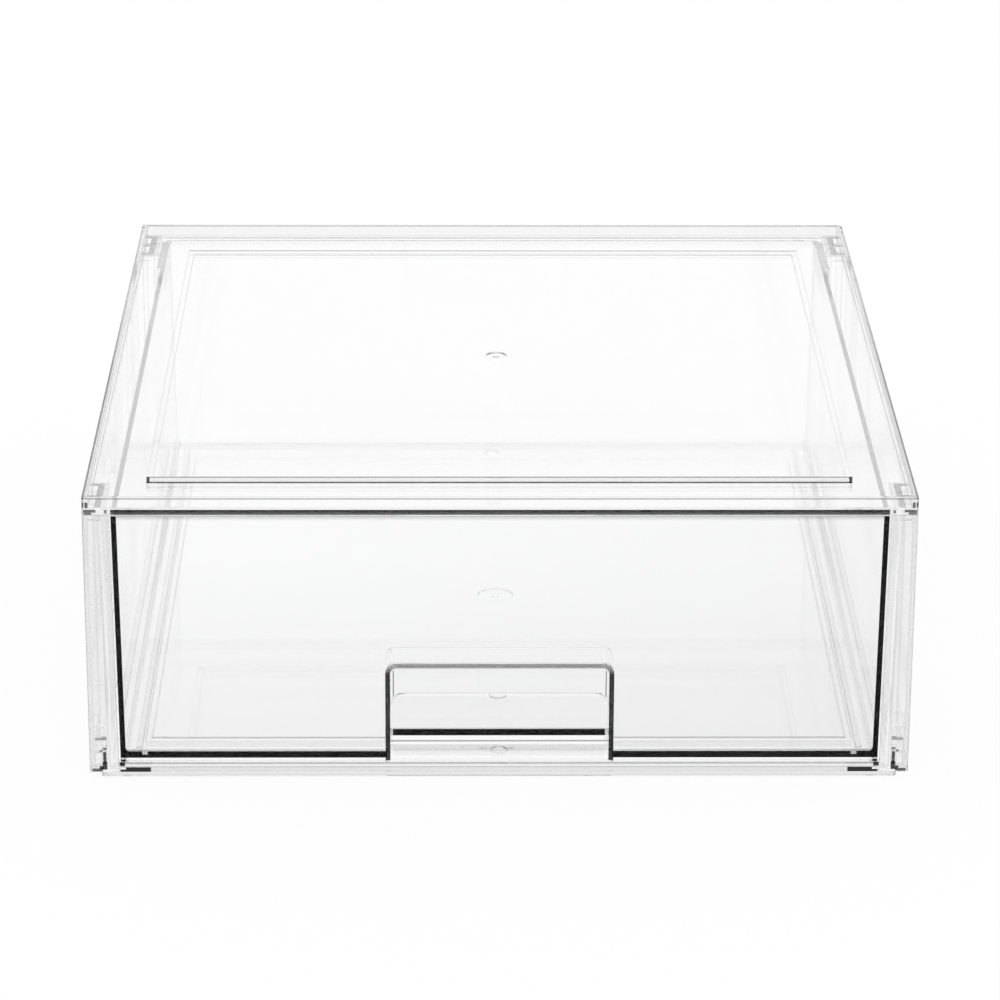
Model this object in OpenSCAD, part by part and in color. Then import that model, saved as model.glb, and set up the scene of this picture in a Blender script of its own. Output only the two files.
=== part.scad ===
// Stackable drawer box: a casing of five clear moulded panels round one clear drawer.
// Millimetres. +Z is up and the drawer opens towards -Y.
// The origin is the middle of the footprint, on the surface that the foot stands on.

/* [Casing] */
// Width over the two side panels
casing_w = 320; // [260:1:400]
// Depth from the front face to the back face
casing_d = 351; // [280:1:420]
// Height from the ledge that rests on a lower box to the top of the rim
casing_h = 114.5; // [95:0.5:170]
// Thickness of the top plate and of the base deck
plate_t = 2.4; // [2.2:0.1:3]
// Thickness of the side panels' outer walls
side_t = 2; // [1.6:0.1:2.6]
// Thickness of the back panel
back_t = 2.2; // [1.6:0.1:3]
// Radius of the casing's upright outer corners
corner_r = 1; // [0.6:0.1:1.6]

/* [Stacking rim and foot] */
// Height of the rim that stands round the top plate
rim_h = 4.4; // [4.2:0.1:6]
// Thickness of the rim
rim_t = 2.4; // [1.8:0.1:3]
// Depth of the foot ring that drops inside the rim of a lower box
foot_h = 3.2; // [2.4:0.1:3.6]
// Thickness of the foot ring
foot_t = 2; // [1.6:0.1:3]
// Room between the foot ring and a lower rim, front and back
nest_gap_y = 0.6; // [0.4:0.1:2]
// Room between the foot ring and a lower rim, at the sides
nest_gap_x = 2; // [0.6:0.1:3]

/* [Raised and sunk centres] */
// Width of the raised centre of the top plate and of the sunk centre of the deck
centre_w = 274; // [200:1:275]
// Distance from the front face to the raised centre
raise_front = 28.5; // [20:0.5:60]
// Distance from the back face to the raised centre
raise_back = 32.3; // [20:0.5:60]
// Height of the raised centre above the top plate
raise_h = 2.4; // [1:0.1:2.8]
// Distance from the front and back faces to the sunk centre of the deck
sink_inset = 21.5; // [18:0.5:60]
// Depth of the sunk centre of the deck
sink_h = 2.4; // [1:0.1:2.8]

/* [Corner posts] */
// Width of the jamb beside the drawer front, at its foot
jamb_w = 11.4; // [10.5:0.1:16]
// Thickness of the jamb and of the post's back wall
jamb_t = 2.2; // [1.6:0.1:3]
// Width of a hollow corner post
post_w = 8.7; // [7.5:0.1:9.5]
// Length of a hollow corner post from front to back
post_d = 31.1; // [24:0.1:50]
// Thickness of a post's inner walls
post_t = 1.8; // [1.4:0.1:2.2]
// Thickness of the ribs that locate a panel inside a post
rib_t = 2.2; // [1.2:0.1:2.4]
// Height of the locating ribs on the base
base_rib_h = 10.6; // [6:0.1:20]
// Height of the locating ribs under the top
top_rib_h = 3; // [2:0.5:8]
// How far the back panel's edge reaches into the groove of a rear post
tongue = 0.9; // [0.6:0.1:1.1]

/* [Base] */
// Thickness of the ledge under the side panels
ledge_t = 2.5; // [2.2:0.1:3]
// Height of the deck's upper face above the ledge's upper face
deck_rise = 1.6; // [1.2:0.1:2]
// Thickness of the upright walls at the front and back of the base
apron_t = 2.4; // [1.6:0.1:3]
// Width of the low windows at the ends of the front and back aprons
window_w = 12.2; // [6:0.1:20]
// Height of those windows
window_h = 2; // [1:0.1:2.2]
// Distance from the side face to the nearest edge of a window
window_inset = 11.6; // [11.6:0.1:20]
// Width of the rails that guide the drawer
rail_w = 2.2; // [1.6:0.1:4]
// Distance between a rail and the drawer's side wall
rail_offset = 3.7; // [1:0.1:5]
// Distance from the front and back faces to the ends of the rails
rail_inset = 8; // [6:0.5:40]

/* [Drawer] */
// Thickness of the drawer's side and back walls
drawer_wall = 1.9; // [1.5:0.1:2.6]
// Thickness of the drawer's front
front_t = 2.3; // [1.8:0.1:3]
// Thickness of the drawer's floor
floor_t = 2.7; // [1.8:0.1:3.5]
// Height of the skirt under the floor
skirt_h = 1.8; // [1.2:0.1:3]
// How far each side of the drawer leans out, from its lower edge to its upper edge
drawer_draft = 1.2; // [0.2:0.1:1.6]
// Radius of the drawer's rear corners
drawer_r = 3; // [2.8:0.1:8]
// Radius where the drawer's side walls meet its floor, inside
floor_r = 1.3; // [0.4:0.1:3]
// Radius where the drawer's front and back walls meet its floor, inside
floor_end_r = 0.4; // [0.2:0.1:3]
// Distance from the casing's back face to the drawer's back wall
drawer_back = 5.4; // [5.2:0.1:12]
// How far the stops near the drawer's rear reach behind the jambs
stop_catch = 0.8; // [0.5:0.1:1.2]
// Length of the stops
stop_l = 39; // [10:1:60]
// Height of the stops
stop_h = 12; // [6:1:40]

/* [Handle] */
// Width over the finger pocket's side walls
pocket_w = 88.8; // [70:0.1:120]
// Height of the finger pocket above the drawer's lower edge
pocket_h = 41.4; // [34:0.1:60]
// Depth of the finger pocket behind the drawer's front face
pocket_d = 23; // [18:0.1:40]
// Thickness of the finger pocket's walls
pocket_t = 1.8; // [1.4:0.1:2.4]
// Radius of the finger pocket's upper corners, seen from the front
pocket_top_r = 4.4; // [2.6:0.1:6]
// Radius of the finger pocket's rear upper edge
pocket_rear_r = 6.8; // [3:0.1:9]
// Radius of the finger pocket's rear upright edges
pocket_side_r = 3; // [2.6:0.1:6]
// Height of the opening under the pull lip
opening_h = 28.7; // [20:0.1:32]
// Radius of the opening's upper corners
opening_r = 6.5; // [3:0.1:10]
// How far the pocket's side walls stand back from the front face in the opening
opening_rebate = 1.2; // [0.6:0.1:1.6]

/* [Gate and pin marks] */
// Diameter of the gate mark on the raised centre
top_gate_d = 8.5; // [4:0.5:16]
// Diameter of the gate mark on the sunk centre
base_gate_d = 15; // [6:0.5:24]
// Diameter of the pin that is left standing in a gate mark
gate_pin_d = 2.6; // [1.5:0.1:3.5]
// Diameter of the ejector pin marks
pin_mark_d = 7; // [4:0.5:10]
// Distance from the front and back edges of the sunk centre to the pin marks in it
pin_mark_in = 46; // [10:1:100]
// Depth or height of the marks
mark_depth = 0.6; // [0.3:0.1:1]

/* [Clearances] */
// Gap between neighbouring casing panels
fit_gap = 0.15; // [0.1:0.05:0.3]
// Gap between the drawer and the jambs
side_gap = 0.8; // [0.3:0.05:1.5]
// Gap between the drawer and the deck or rails below it
run_gap = 0.3; // [0.2:0.05:1]
// Gap between the drawer and the top plate
top_gap = 0.5; // [0.3:0.05:1.5]
// Gap beside a rail where it passes through the drawer's rear skirt
rail_gap = 0.6; // [0.4:0.1:1]

/* [Hidden] */
clear_tint = [0.93, 0.95, 0.96, 0.35];
drawer_tint = [0.86, 0.9, 0.93, 0.45];
over = 1; // how far a cutting tool runs past the face that it cuts
$fn = 64;

// Plan positions
side_x = casing_w / 2;
front_y = -casing_d / 2;
back_y = casing_d / 2;

// Levels, from the ground up
ledge_z = foot_h;
ledge_top = ledge_z + ledge_t;
deck_top = ledge_top + deck_rise;
deck_under = deck_top - plate_t;
rim_top = foot_h + casing_h;
plate_top = rim_top - rim_h;
plate_under = plate_top - plate_t;

// Side panels, between the ledge and the top plate
side_z0 = ledge_top + fit_gap;
side_z1 = plate_under - fit_gap;
post_in_x = side_x - post_w;

// Locating ribs, inside a post
rib_x1 = side_x - side_t - fit_gap;
rib_x0 = post_in_x + post_t + fit_gap;
rib_y0 = jamb_t + fit_gap;
rib_y1 = post_d - post_t - fit_gap;

// Base
deck_x = side_x - jamb_w - fit_gap;
foot_x = side_x - rim_t - nest_gap_x;
foot_y = casing_d / 2 - rim_t - nest_gap_y;
foot_root = (deck_under + ledge_top) / 2; // inside both the deck and the ledges

// Drawer
drawer_x0 = side_x - jamb_w - side_gap; // half its width at the lower edge
drawer_x1 = drawer_x0 + drawer_draft; // and at the upper edge
drawer_z0 = deck_top + run_gap;
drawer_z1 = plate_under - top_gap;
lean = drawer_draft / (drawer_z1 - drawer_z0);
floor_under = drawer_z0 + skirt_h;
floor_top = floor_under + floor_t;
drawer_rear_y = back_y - drawer_back;
rail_x = drawer_x0 - drawer_wall - rail_offset - rail_w / 2;
rail_top = floor_under - run_gap;

// Back panel, held between the rear posts
back_panel_y = back_y - jamb_t;
back_panel_x = post_in_x + tongue;

// Stops
stop_x = drawer_x1 + side_gap + stop_catch;
stop_y1 = drawer_rear_y - drawer_r;

// Handle
front_lap = 0.3; // how far the drawer front stays in front of the pocket's side walls

// A box given by its two opposite corners
module block(low, high) {
    translate(low) cube(high - low);
}

// The same shape on the left and on the right
module both_sides() {
    children();
    mirror([1, 0, 0]) children();
}

// The same shape at the front and at the back
module both_ends() {
    children();
    mirror([0, 1, 0]) children();
}

// Rectangle with round corners, centred
module round_rect(w, d, r) {
    square([w - 2 * r, d], center = true);
    square([w, d - 2 * r], center = true);
    for (x = [-1, 1], y = [-1, 1])
        translate([x * (w / 2 - r), y * (d / 2 - r)]) circle(r);
}

// Flat ring between two rectangles
module ring(w, d, r, t) {
    difference() {
        round_rect(w, d, r);
        square([w - 2 * t, d - 2 * t], center = true);
    }
}

// Upright arch outline: flat foot, round upper corners
module arch(w, h, r) {
    translate([-w / 2, 0]) square([w, h - r]);
    translate([-w / 2 + r, 0]) square([w - 2 * r, h]);
    for (x = [-1, 1]) translate([x * (w / 2 - r), h - r]) circle(r);
}

// Box-shaped outline with round lower corners, whose sides lean out by a distance at the top
module trough(w, h, r, out = 0) {
    polygon([[-w / 2, r], [w / 2, r], [w / 2 + out, h], [-w / 2 - out, h]]);
    translate([-w / 2 + r, 0]) square([w - 2 * r, h]);
    for (x = [-1, 1]) translate([x * (w / 2 - r), r]) circle(r);
}

// Space between the drawer's leaning sides, drawn in by a distance, from below to above the drawer
module between_sides(side_in) {
    x0 = drawer_x0 - side_in - lean * over;
    x1 = drawer_x1 - side_in + lean * over;
    translate([0, back_y + over, 0]) rotate([90, 0, 0]) linear_extrude(casing_d + 2 * over)
        polygon([[-x0, drawer_z0 - over], [x0, drawer_z0 - over],
                 [x1, drawer_z1 + over], [-x1, drawer_z1 + over]]);
}

// Shallow round mark to be cut into an upper face
module mark(place, d) {
    translate(place - [0, 0, mark_depth]) cylinder(h = mark_depth + over, d = d);
}

// The same with the stub of the gate left standing in it
module gate_mark(place, d) {
    difference() {
        mark(place, d);
        translate(place - [0, 0, mark_depth + over]) cylinder(h = mark_depth / 2 + over, d = gate_pin_d);
    }
}

// Footprint of the whole casing
module footprint() {
    round_rect(casing_w, casing_d, corner_r);
}

// Plan of one locating rib cluster in the front right post: a long rib with three cross ribs
module rib_plan() {
    translate([rib_x0, front_y + rib_y0]) square([rib_t, rib_y1 - rib_y0]);
    for (y = [rib_y0, (rib_y0 + rib_y1 - rib_t) / 2, rib_y1 - rib_t])
        translate([rib_x0, front_y + y]) square([rib_x1 - rib_x0, rib_t]);
}

// Locating ribs in all four posts, from one level to another
module locating_ribs(z0, z1) {
    translate([0, 0, z0]) linear_extrude(z1 - z0)
        both_ends() both_sides() rib_plan();
}

// Top plate with its raised centre, stacking rim and locating ribs
module top_panel() {
    centre_y0 = front_y + raise_front;
    centre_y1 = back_y - raise_back;
    color(clear_tint) {
        difference() {
            union() {
                translate([0, 0, plate_under]) linear_extrude(plate_t) footprint();
                block([-centre_w / 2, centre_y0, plate_under],
                      [centre_w / 2, centre_y1, plate_top + raise_h]);
            }
            block([-centre_w / 2 + plate_t, centre_y0 + plate_t, plate_under - over],
                  [centre_w / 2 - plate_t, centre_y1 - plate_t, plate_under + raise_h]);
            gate_mark([0, (centre_y0 + centre_y1) / 2, plate_top + raise_h], top_gate_d);
        }
        translate([0, 0, plate_under]) linear_extrude(rim_top - plate_under)
            ring(casing_w, casing_d, corner_r, rim_t);
        locating_ribs(plate_under - top_rib_h, plate_under + plate_t / 2);
    }
}

// Base: ledges under the side panels, deck with a sunk centre, foot ring, rails and locating ribs
module base_panel() {
    ledge_in = deck_x - apron_t;
    sink_y = casing_d / 2 - sink_inset;
    color(clear_tint) {
        difference() {
            union() {
                // deck between the ledges
                block([-deck_x, front_y, deck_under], [deck_x, back_y, deck_top]);
                // pan under the sunk centre
                block([-centre_w / 2 - plate_t, -sink_y - plate_t, deck_under - sink_h],
                      [centre_w / 2 + plate_t, sink_y + plate_t, deck_top]);
                // aprons at the front and back
                both_ends() block([-deck_x, front_y, ledge_z], [deck_x, front_y + apron_t, deck_top]);
                // walls where the deck meets the ledges
                both_sides() block([ledge_in, front_y, ledge_z], [deck_x, back_y, deck_top]);
                // ledges
                translate([0, 0, ledge_z]) linear_extrude(ledge_t) difference() {
                    footprint();
                    square([2 * ledge_in, casing_d + 2 * over], center = true);
                }
                // foot ring
                linear_extrude(foot_root) ring(2 * foot_x, 2 * foot_y, corner_r, foot_t);
            }
            block([-centre_w / 2, -sink_y, deck_top - sink_h], [centre_w / 2, sink_y, deck_top + over]);
            gate_mark([0, 0, deck_top - sink_h], base_gate_d);
            both_ends() mark([0, front_y + (apron_t + sink_inset) / 2, deck_top], pin_mark_d);
            // low windows in the aprons
            both_ends() both_sides()
                block([side_x - window_inset - window_w, front_y - over, ledge_z - over],
                      [side_x - window_inset, front_y + apron_t, ledge_z + window_h]);
        }
        // pin marks that stand up from the sunk centre
        both_ends() translate([0, -sink_y + pin_mark_in, deck_top - sink_h - over])
            cylinder(h = over + mark_depth, d = pin_mark_d);
        // rails
        both_sides() block([rail_x - rail_w / 2, front_y + rail_inset, deck_under],
                           [rail_x + rail_w / 2, back_y - rail_inset, rail_top]);
        locating_ribs(ledge_top - ledge_t / 2, ledge_top + base_rib_h);
    }
}

// Plan of the right side panel: outer wall, front jamb and the two hollow corner posts
module side_plan() {
    intersection() {
        footprint();
        difference() {
            union() {
                translate([side_x - side_t, front_y]) square([side_t, casing_d]);
                translate([side_x - jamb_w, front_y]) square([jamb_w, jamb_t]);
                translate([post_in_x, back_y - jamb_t]) square([post_w, jamb_t]);
                both_ends() {
                    translate([post_in_x, front_y]) square([post_t, post_d]);
                    translate([post_in_x, front_y + post_d - post_t]) square([post_w, post_t]);
                }
            }
            // groove for the back panel
            translate([post_in_x - over, back_panel_y - back_t - fit_gap])
                square([over + tongue + fit_gap, back_t + 2 * fit_gap]);
        }
    }
}

// Right side panel. Its jamb leans out beside the drawer.
module side_panel() {
    difference() {
        translate([0, 0, side_z0]) linear_extrude(side_z1 - side_z0) side_plan();
        intersection() {
            between_sides(-side_gap);
            block([0, front_y - over, drawer_z0], [side_x, front_y + jamb_t + over, drawer_z1 + over]);
        }
    }
}

module right_side_panel() {
    color(clear_tint) side_panel();
}

module left_side_panel() {
    color(clear_tint) mirror([1, 0, 0]) side_panel();
}

// Plain panel that closes the back, in the grooves of the rear posts
module back_panel() {
    color(clear_tint)
        block([-back_panel_x, back_panel_y - back_t, deck_top + fit_gap],
              [back_panel_x, back_panel_y, plate_under - fit_gap]);
}

// Plan of the drawer's upper edge drawn in by a wall: square at the front, round at the back
module drawer_plan(side_in, front_in) {
    x = drawer_x1 - side_in;
    y0 = front_y + front_in;
    y1 = drawer_rear_y - side_in;
    r = drawer_r - side_in;
    translate([-x, y0]) square([2 * x, y1 - r - y0]);
    translate([-x + r, y0]) square([2 * (x - r), y1 - y0]);
    for (s = [-1, 1]) translate([s * (x - r), y1 - r]) circle(r);
}

// Space inside the drawer: its plan, where it meets two outlines with round lower corners
module cavity() {
    w = 2 * (drawer_x0 + lean * (floor_top - drawer_z0) - drawer_wall);
    d = drawer_rear_y - drawer_wall - front_y - front_t;
    h = drawer_z1 - floor_top + over;
    intersection() {
        translate([0, 0, floor_top]) linear_extrude(h) drawer_plan(drawer_wall, front_t);
        // from the front
        translate([0, back_y, floor_top]) rotate([90, 0, 0])
            linear_extrude(casing_d) trough(w, h, floor_r, lean * h);
        // from the side
        translate([-side_x, front_y + front_t + d / 2, floor_top]) rotate([90, 0, 90])
            linear_extrude(casing_w) trough(d, h, floor_end_r);
    }
}

// Stop near the drawer's rear, which the jamb holds back when the drawer is pulled out
module drawer_stop() {
    block([drawer_x1 - drawer_wall / 2, stop_y1 - stop_l, drawer_z1 - stop_h],
          [stop_x, stop_y1, drawer_z1]);
}

// Solid that fills the finger pocket, drawn in by the pocket's wall.
// It is where three extruded outlines meet: from the front, from the side and from above.
module pocket_core(wall, y0) {
    w = pocket_w - 2 * wall;
    h = pocket_h - wall;
    d = pocket_d - wall;
    r_rear = pocket_rear_r - wall;
    r_side = pocket_side_r - wall;
    intersection() {
        // from the front
        translate([0, back_y, drawer_z0]) rotate([90, 0, 0])
            linear_extrude(casing_d) arch(w, h, pocket_top_r - wall);
        // from the side: round rear upper edge
        translate([-side_x, 0, drawer_z0]) rotate([90, 0, 90]) linear_extrude(casing_w) {
            translate([front_y, 0]) square([d, h - r_rear]);
            translate([front_y, 0]) square([d - r_rear, h]);
            translate([front_y + d - r_rear, h - r_rear]) circle(r_rear);
        }
        // from above: round rear upright edges
        translate([0, 0, drawer_z0]) linear_extrude(pocket_h) {
            translate([-w / 2, front_y + y0]) square([w, d - r_side - y0]);
            translate([-w / 2 + r_side, front_y + y0]) square([w - 2 * r_side, d - y0]);
            for (s = [-1, 1]) translate([s * (w / 2 - r_side), front_y + d - r_side]) circle(r_side);
        }
    }
}

// Opening under the pull lip, cut from the front to a depth
module lip_opening(w, depth) {
    translate([0, front_y + depth, drawer_z0 - over]) rotate([90, 0, 0])
        linear_extrude(depth + over) arch(w, opening_h + over, opening_r);
}

// Notch that lets a rail pass through the drawer's rear skirt
module rail_notch() {
    notch_x = rail_w / 2 + rail_gap;
    block([rail_x - notch_x, drawer_rear_y - drawer_wall - over, drawer_z0 - over],
          [rail_x + notch_x, drawer_rear_y + over, floor_under]);
}

// Open-topped drawer in one piece, with the finger pocket behind its front
module drawer() {
    color(drawer_tint) difference() {
        union() {
            difference() {
                intersection() {
                    translate([0, 0, drawer_z0]) linear_extrude(drawer_z1 - drawer_z0) drawer_plan(0, 0);
                    between_sides(0);
                }
                cavity();
                // hollow inside the skirt
                intersection() {
                    translate([0, 0, drawer_z0 - over]) linear_extrude(skirt_h + over)
                        drawer_plan(drawer_wall, front_t);
                    between_sides(drawer_wall);
                }
                lip_opening(pocket_w - 2 * front_lap, front_t + over);
                both_sides() rail_notch();
            }
            pocket_core(0, opening_rebate);
            both_sides() drawer_stop();
        }
        translate([0, 0, -over]) pocket_core(pocket_t, front_t);
        pocket_core(pocket_t, front_t);
        lip_opening(pocket_w - 2 * pocket_t, front_t + over);
    }
}

top_panel();
base_panel();
left_side_panel();
right_side_panel();
back_panel();
drawer();
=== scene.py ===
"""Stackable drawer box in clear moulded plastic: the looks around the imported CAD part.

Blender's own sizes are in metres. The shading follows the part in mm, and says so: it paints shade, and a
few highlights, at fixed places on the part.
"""
import math

import bpy
from mathutils import Matrix, Vector


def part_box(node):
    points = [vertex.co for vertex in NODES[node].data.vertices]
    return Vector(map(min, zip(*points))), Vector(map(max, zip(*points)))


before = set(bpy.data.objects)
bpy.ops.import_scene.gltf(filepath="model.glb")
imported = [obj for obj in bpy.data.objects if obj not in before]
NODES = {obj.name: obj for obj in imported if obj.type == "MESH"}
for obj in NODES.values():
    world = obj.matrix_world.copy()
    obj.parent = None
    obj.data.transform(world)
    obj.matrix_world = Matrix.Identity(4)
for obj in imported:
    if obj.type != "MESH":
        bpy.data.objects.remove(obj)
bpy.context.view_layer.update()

# Camera, as the photograph was taken
CAMERA_PLACE = Vector((-0.01865, -1.70933, 0.70347))
CAMERA_PITCH = math.radians(20.922)  # looking down
CAMERA_YAW = math.radians(0.689)
CAMERA_ROLL = math.radians(0.238)
SENSOR_MM = 36.0
LENS_MM = 154.9

# Clear plastic
PLASTIC_IOR = 1.52
CASING_DENSITY, DRAWER_DENSITY = 0.3, 1
CLEAR_LEAST = 0.996  # how much light passes where a wave is at its darkest
RED_SHARE = 0.999  # a trace less red passes than green and blue
ROUGH_LEAST, ROUGH_MOST = 0.01, 0.04
JAMB_FROST = 0.12  # how much rougher the jambs' front faces are
FILLET_LIFT = 4.0  # how far the rounding inside the drawer shades like its floor
PAN_LIFT = -0.32  # how far the sunk centre's front face shades as if it leaned, here down
DARK, DARK_GLINT = 0.2, 0.1  # below DARK, a place painted dark loses its reflection too, down to DARK_GLINT at black

# Slow waves that moulding leaves in a face
WAVE_SCALE, WAVE_DETAIL = 22.0, 1.0
WAVE_LOW, WAVE_HIGH = 0.3, 0.7
WAVE_HEIGHT = 0.000004

# Rounded edges
WELD_REACH = 0.0002  # also joins the slivers that would spoil the rounding
FLAT_ANGLE = math.radians(0.2)
EDGE_ANGLE = math.radians(50)
EDGE_WIDTH, EDGE_SEGMENTS = 0.0002, 2
EDGE_SHADE = 0.15  # painted shade on rounded edges: how much light they let through
FLAT_NORMAL, EDGE_NORMAL = 0.99, 0.78  # the normal's largest part, on a flat face and on a rounded edge

# Floor
FLOOR_HALF, FLOOR_DROP = 4.0, 0.0005
FLOOR_GREY, FLOOR_GLOW = 0.99, 0.95

# How often light may bend through the stacked clear walls, and mirror inside one
BEND_BOUNCES = 48
MIRROR_BOUNCES = 64

# From here on to the functions, places are in mm. x counts from the middle to either side, except in
# FRONT_FADE_RIGHT.
MM_IN_M = 1000.0
FAR = 1000.0  # past the part's end
SOFT = 0.1  # how far a mask fades out past its box
SKIN_OUT, SKIN_IN = 0.2, 0.1  # how far a mask on the front reaches out of its face and into it


def box_in_mm(node):
    low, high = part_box(node)
    return low * MM_IN_M, high * MM_IN_M


# Levels and places of the CAD part that the painted shade follows
TOP_LOW, TOP_HIGH = box_in_mm("top_panel")
DRAWER_LOW, DRAWER_HIGH = box_in_mm("drawer")
FRONT_Y = DRAWER_LOW.y
RIM_TOP, RIM_HEIGHT, PLATE_WALL, RAISE_HEIGHT = TOP_HIGH.z, 4.4, 2.4, 2.4
PLATE_TOP = RIM_TOP - RIM_HEIGHT
PLATE_UNDER = PLATE_TOP - PLATE_WALL
RAISE_X, RAISE_Y0, RAISE_Y1, RAISE_TOP = 137.0, -147.0, 143.2, PLATE_TOP + RAISE_HEIGHT
RIM_IN_Y, RIM_FLANK_X = 173.1, 159.2
POST_X, POST_OUT_X = 150.5, 158.0
TOP_RIB_Z0, BASE_RIB_Z1 = TOP_LOW.z, box_in_mm("base_panel")[1].z
DRAWER_Z0, DRAWER_Z1, SKIRT, DRAWER_FLOOR = DRAWER_LOW.z, DRAWER_HIGH.z, 1.8, 2.7
FLOOR_UNDER = DRAWER_Z0 + SKIRT
FLOOR_TOP = FLOOR_UNDER + DRAWER_FLOOR
DRAWER_X0, DRAWER_X1, DRAWER_WALL = 147.8, 149.0, 1.9  # outside at the foot and at the top
DRAWER_IN_X, DRAWER_IN_Y = DRAWER_X0 - DRAWER_WALL, -173.2
POCKET_X, POCKET_TOP, POCKET_WALL, POCKET_R = 44.4, 49.0, 1.8, 4.4
POCKET_BACK_Y, POCKET_REAR_Y = -154.3, -152.5
DECK_X, DECK_TOP, DECK_FLOOR, RAIL_X, RAIL_TOP = 148.0, 7.3, 4.9, 141.1, 9.4
SINK_X, SINK_Y0 = 137.0, -154.0
PAN_X, PAN_Y, PAN_Z = 139.6, -156.4, 2.4
FOOT_Y = -172.5
JAMB_X = 140.0

# Painted dark lines: low corner and high corner of a box, and how much light passes
TOP_LINES = (
    # the raised centre's front: its foot, its upper edge and its corners
    ((-FAR, RAISE_Y0 - 0.3, PLATE_TOP - 0.1), (RAISE_X, RAISE_Y0 + 0.2, PLATE_TOP + 0.4), 0.02),
    ((-FAR, RAISE_Y0 - 0.1, RAISE_TOP - 0.3), (RAISE_X, RAISE_Y0 + 0.3, RAISE_TOP + 0.1), 0.25),
    ((RAISE_X - 1.2, RAISE_Y0 - 0.4, PLATE_TOP), (RAISE_X + 0.2, RAISE_Y0 + 0.2, FAR), 0.01),
    # its back: the upper edge, and the wall's root as it shows through the top
    ((-FAR, RAISE_Y1 - 1.2, RAISE_TOP - 0.1), (RAISE_X, RAISE_Y1 + 0.1, RAISE_TOP + 0.1), 0.1),
    ((-FAR, RAISE_Y1 - 7.7, RAISE_TOP - 0.1), (RAISE_X - 3, RAISE_Y1 - 6.4, FAR), 0.35),
    # the rim: front inner edge, front outer edge and top at the back
    ((-FAR, -RIM_IN_Y - 0.3, RIM_TOP - 0.3), (FAR, -RIM_IN_Y + 0.1, RIM_TOP + 0.1), 0.25),
    ((-FAR, FRONT_Y - SKIN_OUT, RIM_TOP - 0.6), (FAR, FRONT_Y + 0.3, RIM_TOP + 0.1), 0.42),
    ((-FAR, RIM_IN_Y, RIM_TOP - 0.1), (FAR, FAR, RIM_TOP + 0.1), 0.6),
    # ends of the locating ribs
    ((POST_X, -FAR, 0), (POST_OUT_X, FAR, TOP_RIB_Z0 + 0.1), 0.15),
)
BASE_LINES = (
    # ends of the front locating ribs
    ((POST_X, -FAR, BASE_RIB_Z1 - 0.1), (POST_OUT_X, -170, BASE_RIB_Z1 + 0.1), 0.1),
    # the sunk centre's front edge and the root under it
    ((-FAR, SINK_Y0 - 1.6, DECK_TOP - 0.1), (SINK_X, SINK_Y0 + 0.1, DECK_TOP + 0.1), 0.15),
    ((-FAR, SINK_Y0 - 0.1, DECK_FLOOR - 0.1), (SINK_X, SINK_Y0 + 0.9, DECK_FLOOR + 0.1), 0.75),
    # the rails
    ((RAIL_X - 1.1, -FAR, DECK_TOP + 0.1), (RAIL_X + 1.2, FAR, RAIL_TOP), 0.8),
)
DRAWER_LINES = (
    # the walls' upper edges, behind the front
    ((DRAWER_IN_X, FRONT_Y + 2.5, DRAWER_Z1 - 0.1), (FAR, FAR, FAR), 0.35),
)

# Painted shade on faces: the same, for light that enters only
TOP_FACES = (
    # the rim's inner face at the back
    ((-FAR, RIM_IN_Y - 0.2, PLATE_TOP + 0.2), (FAR, RIM_IN_Y + 0.2, RIM_TOP - 0.2), 0.85),
)
BASE_FACES = (
    # the deck's lip, and the foot behind the windows
    ((-FAR, FRONT_Y - SKIN_OUT, DECK_TOP - 0.6), (DECK_X, FRONT_Y + SKIN_IN, FAR), 0.3),
    ((136.3, FOOT_Y - 0.1, 2.0), (148.3, FOOT_Y + 0.1, 4.2), 0.001),
)

# Edges that stay clearer, keeping less of the painted edge shade: low corner, high corner, and how much of
# the edge's shade they lose
SIDE_SPARED = (
    # the jambs' outer edge
    ((159.4, -FAR, 3), (FAR, FRONT_Y + 0.8, 112), 0.7),
)
BASE_SPARED = (
    # the sunk centre's underside and its inner floor
    ((-FAR, -160, 0), (142, 160, DECK_FLOOR - 0.3), 1),
    ((-FAR, -160, DECK_FLOOR - 0.3), (142, 160, DECK_FLOOR + 0.3), 0.6),
)
DRAWER_SPARED = (
    # the rounding along the floor, the pocket, the foot of the sides and the back corners
    ((-FAR, DRAWER_IN_Y, FLOOR_TOP - 0.1), (DRAWER_IN_X + 0.1, FAR, FLOOR_TOP + 1.4), 1),
    ((-FAR, -172, 0), (POCKET_X + 0.1, -150, POCKET_TOP + 0.1), 1),
    ((DRAWER_IN_X - 3, -170, 0), (FAR, FAR, FLOOR_TOP + 1.4), 0.7),
    ((-FAR, 150, FLOOR_TOP), (FAR, FAR, DRAWER_Z1 - 1), 0.9),
)

# Painted dark spots on the front, where the moulding's corners bend the light away: low x and z, high x and
# z, and how much light passes
SPOT_REACH = 0.3  # out of the front and into it, and how far a spot fades out
RIM_CORNER = (
    ((159.2, 114.0), (160.1, 115.9), 0.02), ((157.7, 113.8), (158.6, 115.9), 0.03),
    ((154.7, 112.1), (159.2, 112.9), 0.03), ((156.3, 110.9), (159.2, 111.9), 0.05),
    ((150.5, 111.6), (151.2, 112.8), 0.05),
)
JAMB_FOOT = (
    ((153.5, 7.0), (154.5, 11.8), 0.01), ((153.2, 5.7), (154.8, 7.5), 0.005),
    ((153.3, 12.7), (154.6, 13.6), 0.1), ((155.0, 11.9), (155.9, 12.6), 0.1),
)
LEDGE_CORNER = (
    ((153.2, 4.4), (156.0, 5.8), 0.005), ((155.0, 3.6), (158.9, 4.7), 0.03),
    ((146.3, 5.9), (148.2, 7.4), 0.002),
)
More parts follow.
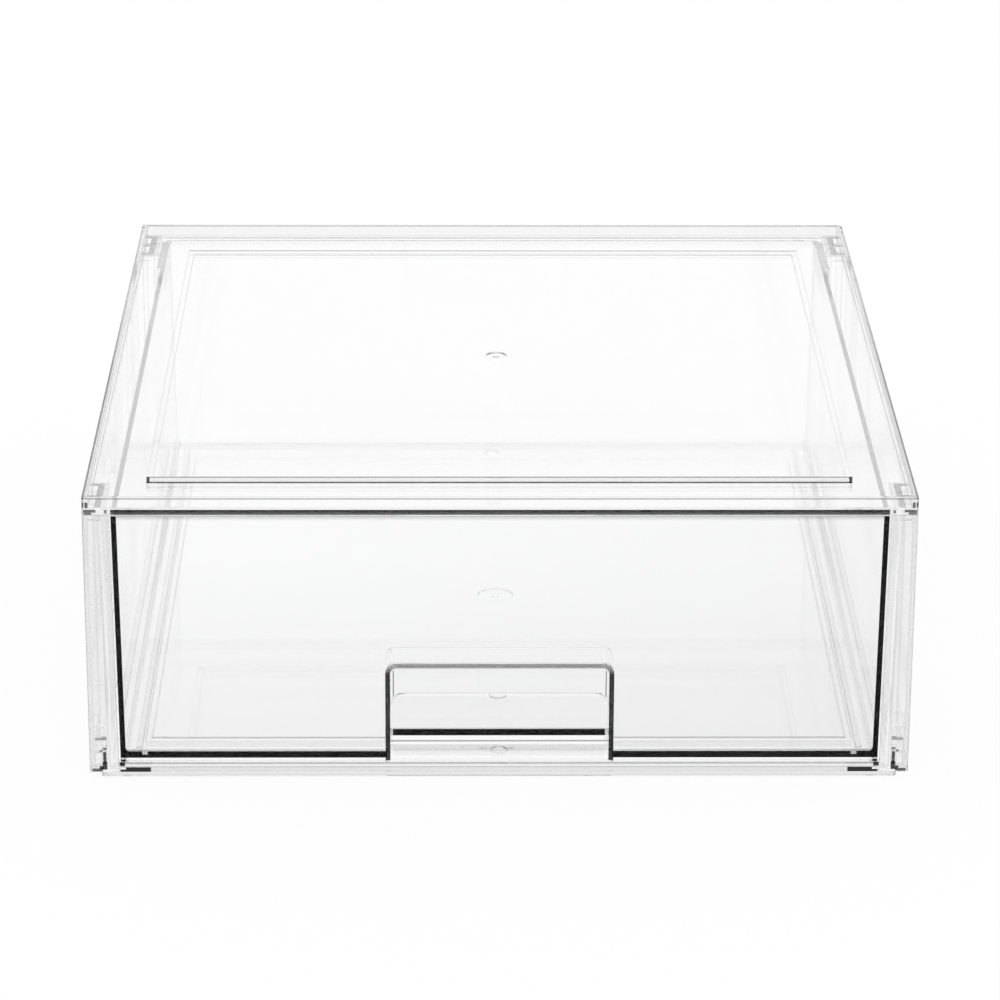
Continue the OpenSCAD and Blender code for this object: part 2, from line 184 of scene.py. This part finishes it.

# Painted shade on the plate's front edge between the jambs, and on the rim's outer edge at the sides
BAND = (-FAR, PLATE_UNDER - 0.2), (DRAWER_X1, PLATE_TOP - 0.3)
BAND_FADE = PLATE_UNDER, PLATE_UNDER + 1.2, 0.03, 0.004  # from z to z, and how much light passes at each
FLANK = (RIM_FLANK_X, -FAR, RIM_TOP - 0.3), (FAR, FAR, FAR)
FLANK_SHADE = 0.12
FLANK_FADE = -20.0, 120.0, 1.0, 0.2  # from y to y, and how much of the shade shows at each

# Painted upright strips on the jambs, over the jambs' painted grey (JAMB_SHADE): low x, high x, and how
# much light passes; below 1 a painted shade, above 1 a painted highlight
JAMB_SHADE = 0.88
JAMB_SLANT, JAMB_SLANT_Z = 0.0205, 92.6  # the inner strips lean in towards the foot; their x is at this z
STRIP_SOFT = 0.2
JAMB_EDGE = (
    (158.9, 159.6, 1.13),
)
JAMB_STRIPS = (
    (153.4, 154.1, 0.8), (152.4, 153.0, 1.13), (150.4, 152.2, 0.93), (149.9, 150.4, 0.82),
    (148.9, 149.5, 1.13),
)

# Painted grey on the front apron and a painted line on the foot ring; and the sunk centre's outer front
# face
APRON = (-FAR, 0), (DECK_X, 5.7)
APRON_FADE = 3.4, 5.7, 0.78, 0.45
FOOT_LINE = (-FAR, FOOT_Y - 0.1, 0.6), (FAR, FOOT_Y + 0.1, 1.7)
FOOT_LINE_SHADE = 0.65
PAN_FRONT = (-FAR, PAN_Y - 0.2, PAN_Z), (PAN_X, PAN_Y + 0.2, DECK_FLOOR)

# Painted black on the drawer, in place of the shade where walls and floor are seen edge-on: low x and z,
# high x and z
BLACK_SHADE = 0.0005
DRAWER_PAINTED_BLACK = (
    ((DRAWER_IN_X - 0.15, FLOOR_UNDER), (DRAWER_X0 + 0.1, DRAWER_Z1 + 0.1)),
    ((DRAWER_IN_X, DRAWER_Z0 - 0.1), (DRAWER_X0 + 0.1, DRAWER_Z0 + 1)),
    ((-FAR, FLOOR_UNDER), (DRAWER_X0, FLOOR_TOP)),
)
POCKET_PAINTED_BLACK = (-FAR, POCKET_BACK_Y - 0.1, FLOOR_UNDER), (POCKET_X, POCKET_REAR_Y, FLOOR_TOP)
FLOOR_NOTCH = (137.3, 10.8), (139.3, FLOOR_TOP + 0.4)
NOTCH_CLEAR = 0.999  # how much of the painted black the notch in the floor's line takes away
PAINTED_BLACK_CORNER = (
    ((DRAWER_IN_X - 1.1, FLOOR_TOP), (DRAWER_IN_X, FLOOR_TOP + 0.4)),
    ((DRAWER_IN_X - 0.4, FLOOR_TOP), (DRAWER_IN_X, FLOOR_TOP + 1.1)),
)

# Painted shade on the pocket: its outline on the front, the line inside its upright sides, and its back
# wall's foot
OUTLINE_DEPTH = 1.3
OUTLINE_FADE = POCKET_TOP - 4, POCKET_TOP - 2, 0.004, 0.16
LIP_LINE = (41.1, 35.2), (41.5, 46.2)
LIP_LINE_SHADE = 0.12
POCKET_FOOT = (-FAR, POCKET_BACK_Y - 0.2, FLOOR_TOP), (POCKET_X, POCKET_BACK_Y + 0.1, 26.0)
POCKET_FOOT_SOFT, POCKET_FOOT_SHADE = 1.0, 0.8

# Painted shade on the drawer's front: a little darker lower down, to the right and at its upper edge.
DRAWER_FRONT = (-FAR, FLOOR_TOP), (FAR, FAR)
FRONT_FADE_UP = FLOOR_TOP, 95.0, 0.81, 1.0
FRONT_FADE_RIGHT = -100.0, 140.0, 1.0, 0.92
FRONT_FADE_EDGE = DRAWER_Z1 - 2, DRAWER_Z1, 1.0, 0.35

# The inner rounding between the drawer's floor and its sides
FILLET = (DRAWER_IN_X - 1.5, DRAWER_IN_Y, FLOOR_TOP + 0.1), (DRAWER_IN_X, FAR, FLOOR_TOP + 1.3)


def make_camera():
    ahead = Vector((math.sin(CAMERA_YAW), math.cos(CAMERA_YAW), 0))
    right = Vector((math.cos(CAMERA_YAW), -math.sin(CAMERA_YAW), 0))
    look = ahead * math.cos(CAMERA_PITCH) - Vector((0, 0, math.sin(CAMERA_PITCH)))
    up = right.cross(look)
    right_rolled = right * math.cos(CAMERA_ROLL) + up * math.sin(CAMERA_ROLL)
    up_rolled = up * math.cos(CAMERA_ROLL) - right * math.sin(CAMERA_ROLL)
    data = bpy.data.cameras.new("camera")
    data.sensor_width = SENSOR_MM
    data.lens = LENS_MM
    camera = bpy.data.objects.new("camera", data)
    bpy.context.scene.collection.objects.link(camera)
    turn = Matrix((right_rolled, up_rolled, -look)).transposed().to_4x4()
    camera.matrix_world = Matrix.Translation(CAMERA_PLACE) @ turn
    bpy.context.scene.camera = camera


def soften_edges(obj):
    """Merges the flat faces of a CAD node and rounds its edges, as moulded plastic has them."""
    weld = obj.modifiers.new("weld", "WELD")
    weld.merge_threshold = WELD_REACH
    merge = obj.modifiers.new("merge flat faces", "DECIMATE")
    merge.decimate_type = "DISSOLVE"
    merge.angle_limit = FLAT_ANGLE
    bevel = obj.modifiers.new("round edges", "BEVEL")
    bevel.offset_type = "WIDTH"
    bevel.width = EDGE_WIDTH
    bevel.loop_slide = False
    bevel.segments = EDGE_SEGMENTS
    bevel.limit_method = "ANGLE"
    bevel.angle_limit = EDGE_ANGLE
    bevel.use_clamp_overlap = False
    bevel.harden_normals = True


class ShaderNodes:
    """Builds the nodes of one material: each method returns an output socket."""

    def __init__(self, tree):
        self.tree = tree

    def plug(self, socket, value):
        if isinstance(value, bpy.types.NodeSocket):
            self.tree.links.new(value, socket)
        else:
            socket.default_value = value

    def math(self, operation, a, b=0.0):
        node = self.tree.nodes.new("ShaderNodeMath")
        node.operation = operation
        self.plug(node.inputs[0], a)
        self.plug(node.inputs[1], b)
        return node.outputs[0]

    def product(self, *values):
        result = values[0]
        for value in values[1:]:
            result = self.math("MULTIPLY", result, value)
        return result

    def highest(self, *values):
        result = values[0]
        for value in values[1:]:
            result = self.math("MAXIMUM", result, value)
        return result

    def vector(self, operation, a, b=(0.0, 0.0, 0.0)):
        node = self.tree.nodes.new("ShaderNodeVectorMath")
        node.operation = operation
        self.plug(node.inputs[0], a)
        self.plug(node.inputs[1], b)
        return node.outputs["Value" if operation == "LENGTH" else "Vector"]

    def parts(self, vector):
        node = self.tree.nodes.new("ShaderNodeSeparateXYZ")
        self.plug(node.inputs[0], vector)
        return node.outputs[0], node.outputs[1], node.outputs[2]

    def join(self, x, y, z):
        node = self.tree.nodes.new("ShaderNodeCombineXYZ")
        for socket, value in zip(node.inputs, (x, y, z)):
            self.plug(socket, value)
        return node.outputs[0]

    def ramp(self, value, x0, x1, y0, y1):
        """Straight line from (x0, y0) to (x1, y1), level outside."""
        node = self.tree.nodes.new("ShaderNodeMapRange")
        self.plug(node.inputs["Value"], value)
        for name, number in (("From Min", x0), ("From Max", x1), ("To Min", y0), ("To Max", y1)):
            node.inputs[name].default_value = number
        return node.outputs[0]


class Shade(ShaderNodes):
    """Shader nodes that know the place on the part, in mm, and paint shade on it there."""

    def __init__(self, tree):
        super().__init__(tree)
        coordinates = tree.nodes.new("ShaderNodeTexCoord")
        self.metres = coordinates.outputs["Object"]
        self.place = self.vector("MULTIPLY", self.metres, (MM_IN_M, MM_IN_M, MM_IN_M))
        self.normal = coordinates.outputs["Normal"]
        geometry = tree.nodes.new("ShaderNodeNewGeometry")
        self.outside = self.math("SUBTRACT", 1.0, geometry.outputs["Backfacing"])  # 1 where light enters

    def sided(self):
        """Place with the left half mirrored onto the right."""
        x, y, z = self.parts(self.place)
        return self.join(self.math("ABSOLUTE", x), y, z)

    def upright(self):
        """sided(), with the drawer's leaning sides stood upright at their lower edge's place."""
        x, y, z = self.parts(self.sided())
        lean = (DRAWER_X1 - DRAWER_X0) / (DRAWER_Z1 - DRAWER_Z0)
        out = self.product(self.math("SUBTRACT", z, DRAWER_Z0), lean)
        return self.join(self.math("SUBTRACT", x, out), y, z)

    def box(self, place, low, high, soft=SOFT):
        """1 inside a box and 0 outside, with a soft edge."""
        middle = tuple((a + b) / 2 for a, b in zip(low, high))
        half = tuple((b - a) / 2 for a, b in zip(low, high))
        out = self.vector("SUBTRACT", self.vector("ABSOLUTE", self.vector("SUBTRACT", place, middle)), half)
        return self.ramp(self.highest(*self.parts(out)), 0.0, soft, 1.0, 0.0)

    def front_box(self, place, low, high):
        """box() on the front plane, from low x and z to high x and z."""
        (x0, z0), (x1, z1) = low, high
        return self.box(place, (x0, FRONT_Y - SKIN_OUT, z0), (x1, FRONT_Y + SKIN_IN, z1))

    def paint_light_and_shade(self, value, mask, shade):
        """value, taken towards value times shade where mask is 1: painted shade, and painted light where
        shade is above 1.
        """
        if isinstance(shade, bpy.types.NodeSocket):
            drop = self.math("SUBTRACT", 1.0, shade)
        else:
            drop = 1.0 - shade
        return self.product(value, self.math("SUBTRACT", 1.0, self.product(mask, drop)))

    def paint_shade_on_face(self, value, mask, shade):
        """The same painted shade, for light that enters only."""
        return self.paint_light_and_shade(value, self.product(mask, self.outside), shade)

    # lines(), faces() and spots() paint the shade from a table of boxes onto value
    def lines(self, value, place, table):
        for low, high, shade in table:
            value = self.paint_light_and_shade(value, self.box(place, low, high), shade)
        return value

    def faces(self, value, place, table):
        for low, high, shade in table:
            value = self.paint_shade_on_face(value, self.box(place, low, high), shade)
        return value

    def spots(self, value, place, table):
        for (x0, z0), (x1, z1), shade in table:
            low, high = (x0, FRONT_Y - SPOT_REACH, z0), (x1, FRONT_Y + SPOT_REACH, z1)
            value = self.paint_shade_on_face(value, self.box(place, low, high, SPOT_REACH), shade)
        return value

    def edges(self, value, place, spared=()):
        """value, with painted shade on the rounded edges between faces along the axes."""
        steepest = self.highest(*self.parts(self.vector("ABSOLUTE", self.normal)))
        mask = self.ramp(steepest, FLAT_NORMAL, EDGE_NORMAL, 0.0, 1.0)
        if spared:
            shares = [self.product(self.box(place, low, high), share) for low, high, share in spared]
            mask = self.product(mask, self.math("SUBTRACT", 1.0, self.highest(*shares)))
        return self.paint_light_and_shade(value, mask, EDGE_SHADE)

    def waves(self):
        node = self.tree.nodes.new("ShaderNodeTexNoise")
        self.plug(node.inputs["Vector"], self.metres)
        node.inputs["Scale"].default_value = WAVE_SCALE
        node.inputs["Detail"].default_value = WAVE_DETAIL
        return node.outputs["Fac"]


def clear_plastic(name, density, paint_shades, frost=None, lift=None):
    """Clear plastic. One function given builds how much light passes where: the slow waves, with painted
    shade and a few painted highlights on top.

    frost() builds what is added to the roughness, and lift() how far a face shades as if it leaned up.
    """
    material = bpy.data.materials.new(name)
    material.use_nodes = True
    tree = material.node_tree
    shader = tree.nodes["Principled BSDF"]
    shade = Shade(tree)
    waves = shade.waves()
    # How much light passes: the slow waves, and the painted shade and painted highlights at fixed places
    clear = paint_shades(shade, shade.ramp(waves, WAVE_LOW, WAVE_HIGH, CLEAR_LEAST, 1.0))
    colour = tree.nodes.new("ShaderNodeCombineColor")
    for channel, share in zip(colour.inputs, (RED_SHARE, 1.0, 1.0)):
        tree.links.new(shade.product(clear, share), channel)
    tree.links.new(colour.outputs[0], shader.inputs["Base Color"])
    # A place painted dark loses its reflection too
    tree.links.new(shade.ramp(clear, 0.0, DARK, DARK_GLINT, 1.0), shader.inputs["Specular Tint"])
    rough = shade.ramp(waves, WAVE_LOW, WAVE_HIGH, ROUGH_LEAST, ROUGH_MOST)
    if frost:
        rough = shade.math("ADD", rough, frost(shade))
    tree.links.new(rough, shader.inputs["Roughness"])
    shader.inputs["IOR"].default_value = PLASTIC_IOR
    shader.inputs["Transmission Weight"].default_value = 1
    bump = tree.nodes.new("ShaderNodeBump")
    bump.inputs["Distance"].default_value = WAVE_HEIGHT
    tree.links.new(waves, bump.inputs["Height"])
    normal = bump.outputs[0]
    if lift:
        normal = shade.vector("NORMALIZE", shade.vector("ADD", normal, shade.join(0.0, 0.0, lift(shade))))
    tree.links.new(normal, shader.inputs["Normal"])
    absorb = tree.nodes.new("ShaderNodeVolumeAbsorption")
    absorb.inputs["Color"].default_value = (0.0, 0.0, 0.0, 1)
    absorb.inputs["Density"].default_value = density
    tree.links.new(absorb.outputs[0], tree.nodes["Material Output"].inputs["Volume"])
    return material


def top_painted_shades(shade, clear):
    """Painted shade: the plate's dark front edge, and the lines of the raised centre, the rim and the ribs.
    """
    place = shade.sided()
    _, y, z = shade.parts(place)
    clear = shade.edges(clear, place)
    clear = shade.paint_light_and_shade(clear, shade.front_box(place, *BAND), shade.ramp(z, *BAND_FADE))
    clear = shade.lines(clear, place, TOP_LINES)
    flank = shade.product(shade.box(place, *FLANK), shade.ramp(y, *FLANK_FADE))
    clear = shade.paint_light_and_shade(clear, flank, FLANK_SHADE)
    clear = shade.faces(clear, place, TOP_FACES)
    return shade.spots(clear, place, RIM_CORNER)


def jamb_face(shade):
    return shade.product(shade.front_box(shade.sided(), (JAMB_X, 0), (FAR, FAR)), shade.outside)


def jamb_frost(shade):
    return shade.product(jamb_face(shade), JAMB_FROST)


def side_painted_light_and_shade(shade, clear):
    """Painted shade and light: the jambs' grey, with darker and lighter upright strips, and the dark corner
    at their foot.
    """
    place = shade.sided()
    clear = shade.edges(clear, place, SIDE_SPARED)
    jamb = jamb_face(shade)
    # The jambs' painted grey, then painted darker and lighter strips over it
    clear = shade.paint_light_and_shade(clear, jamb, JAMB_SHADE)
    x, _, z = shade.parts(place)
    slanted = shade.math("ADD", x, shade.product(shade.math("SUBTRACT", JAMB_SLANT_Z, z), JAMB_SLANT))
    for across, strips in ((x, JAMB_EDGE), (slanted, JAMB_STRIPS)):
        line = shade.join(across, 0.0, 0.0)
        for x0, x1, level in strips:
            strip = shade.box(line, (x0, -FAR, -FAR), (x1, FAR, FAR), STRIP_SOFT)
            clear = shade.paint_light_and_shade(clear, shade.product(strip, jamb), level)
    return shade.spots(clear, place, JAMB_FOOT)


def base_painted_shades(shade, clear):
    """Painted shade: the lines of the deck, the rails, the ribs and the foot ring, and the front apron's
    grey.
    """
    place = shade.sided()
    _, _, z = shade.parts(place)
    clear = shade.edges(clear, place, BASE_SPARED)
    clear = shade.lines(clear, place, BASE_LINES)
    clear = shade.faces(clear, place, BASE_FACES)
    clear = shade.paint_shade_on_face(clear, shade.front_box(place, *APRON), shade.ramp(z, *APRON_FADE))
    clear = shade.paint_shade_on_face(clear, shade.box(place, *FOOT_LINE, SPOT_REACH), FOOT_LINE_SHADE)
    return shade.spots(clear, place, LEDGE_CORNER)


def pan_lift(shade):
    """The sunk centre's outer front face would otherwise carry light away inside the sunk floor."""
    return shade.product(shade.box(shade.sided(), *PAN_FRONT), shade.outside, PAN_LIFT)


def fillet_lift(shade):
    """The rounding along the drawer's floor would otherwise show a dark streak."""
    return shade.product(shade.box(shade.upright(), *FILLET), shade.outside, FILLET_LIFT)


def pocket_outline(shade):
    """Mask of the pocket's wall on the front, as a band of its width along a round-cornered arch, and its
    painted shade.
    """
    x, y, z = shade.parts(shade.sided())
    reach_x = shade.math("MAXIMUM", shade.math("SUBTRACT", x, POCKET_X - POCKET_R), 0.0)
    reach_z = shade.math("MAXIMUM", shade.math("SUBTRACT", z, POCKET_TOP - POCKET_R), 0.0)
    length = shade.vector("LENGTH", shade.join(reach_x, reach_z, 0.0))
    off_centre = shade.math("ABSOLUTE", shade.math("SUBTRACT", length, POCKET_R - POCKET_WALL / 2))
    band = shade.ramp(off_centre, POCKET_WALL / 2, POCKET_WALL / 2 + SOFT, 1.0, 0.0)
    near = shade.ramp(y, FRONT_Y + OUTLINE_DEPTH, FRONT_Y + OUTLINE_DEPTH + SOFT, 1.0, 0.0)
    return shade.product(band, near), shade.ramp(z, *OUTLINE_FADE)


def drawer_painted_black(shade, place):
    """Mask of the painted black: walls and floor seen edge-on, less the notch in the floor's line, and with
    rounded inner corners.
    """
    black = [shade.front_box(place, low, high) for low, high in DRAWER_PAINTED_BLACK]
    black = shade.highest(*black, shade.box(place, *POCKET_PAINTED_BLACK))
    black = shade.math("SUBTRACT", black, shade.product(shade.front_box(place, *FLOOR_NOTCH), NOTCH_CLEAR))
    return shade.highest(black, *(shade.front_box(place, low, high) for low, high in PAINTED_BLACK_CORNER))


def drawer_painted_shades(shade, clear):
    """Painted black where walls, floor and pocket meet the front edge-on, and painted slow fades on the
    front.
    """
    place = shade.upright()
    x, _, z = shade.parts(shade.place)
    clear = shade.edges(clear, place, DRAWER_SPARED)
    clear = shade.lines(clear, place, DRAWER_LINES)
    clear = shade.paint_shade_on_face(clear, drawer_painted_black(shade, place), BLACK_SHADE)
    clear = shade.paint_shade_on_face(clear, shade.front_box(shade.sided(), *LIP_LINE), LIP_LINE_SHADE)
    # Painted shade on the front: darker lower down, to the right and at its upper edge
    fade = shade.product(
        shade.ramp(z, *FRONT_FADE_UP), shade.ramp(x, *FRONT_FADE_RIGHT), shade.ramp(z, *FRONT_FADE_EDGE)
    )
    clear = shade.paint_shade_on_face(clear, shade.front_box(shade.place, *DRAWER_FRONT), fade)
    clear = shade.paint_shade_on_face(clear, shade.box(place, *POCKET_FOOT, POCKET_FOOT_SOFT), POCKET_FOOT_SHADE)
    return shade.paint_shade_on_face(clear, *pocket_outline(shade))


def make_floor():
    mesh = bpy.data.meshes.new("floor")
    h = FLOOR_HALF
    mesh.from_pydata([(-h, -h, 0), (h, -h, 0), (h, h, 0), (-h, h, 0)], [], [(0, 1, 2, 3)])
    floor = bpy.data.objects.new("floor", mesh)
    bpy.context.scene.collection.objects.link(floor)
    floor.location.z = -FLOOR_DROP
    material = bpy.data.materials.new("floor")
    material.use_nodes = True
    tree = material.node_tree
    tree.nodes.remove(tree.nodes["Principled BSDF"])
    matt = tree.nodes.new("ShaderNodeBsdfDiffuse")
    matt.inputs["Color"].default_value = (FLOOR_GREY, FLOOR_GREY, FLOOR_GREY, 1)
    glow = tree.nodes.new("ShaderNodeEmission")
    path = tree.nodes.new("ShaderNodeLightPath").outputs
    build = ShaderNodes(tree)
    seen = build.highest(path["Is Camera Ray"], path["Is Glossy Ray"], path["Is Transmission Ray"])
    mix = tree.nodes.new("ShaderNodeMixShader")
    tree.links.new(build.product(seen, FLOOR_GLOW), mix.inputs[0])
    tree.links.new(matt.outputs[0], mix.inputs[1])
    tree.links.new(glow.outputs[0], mix.inputs[2])
    tree.links.new(mix.outputs[0], tree.nodes["Material Output"].inputs["Surface"])
    mesh.materials.append(material)


def make_world():
    world = bpy.data.worlds.new("studio")
    bpy.context.scene.world = world
    world.use_nodes = True
    background = world.node_tree.nodes["Background"]
    background.inputs["Color"].default_value = (1, 1, 1, 1)
    background.inputs["Strength"].default_value = 1


def set_bounces():
    cycles = bpy.context.scene.cycles
    cycles.max_bounces = BEND_BOUNCES + MIRROR_BOUNCES
    cycles.glossy_bounces = MIRROR_BOUNCES
    cycles.transmission_bounces = BEND_BOUNCES


make_camera()
make_floor()
make_world()
set_bounces()
top_plastic = clear_plastic("clear top plastic", CASING_DENSITY, top_painted_shades)
base_plastic = clear_plastic("clear base plastic", CASING_DENSITY, base_painted_shades, lift=pan_lift)
side_plastic = clear_plastic("clear side plastic", CASING_DENSITY, side_painted_light_and_shade, frost=jamb_frost)
drawer_plastic = clear_plastic("clear drawer plastic", DRAWER_DENSITY, drawer_painted_shades, lift=fillet_lift)
PLASTICS = {
    "top_panel": top_plastic,
    "base_panel": base_plastic,
    "left_side_panel": side_plastic,
    "right_side_panel": side_plastic,
    "back_panel": side_plastic,
    "drawer": drawer_plastic,
}
for name, node in NODES.items():
    soften_edges(node)
    node.data.materials[0] = PLASTICS[name]
bpy.context.scene.view_settings.view_transform = "Standard"
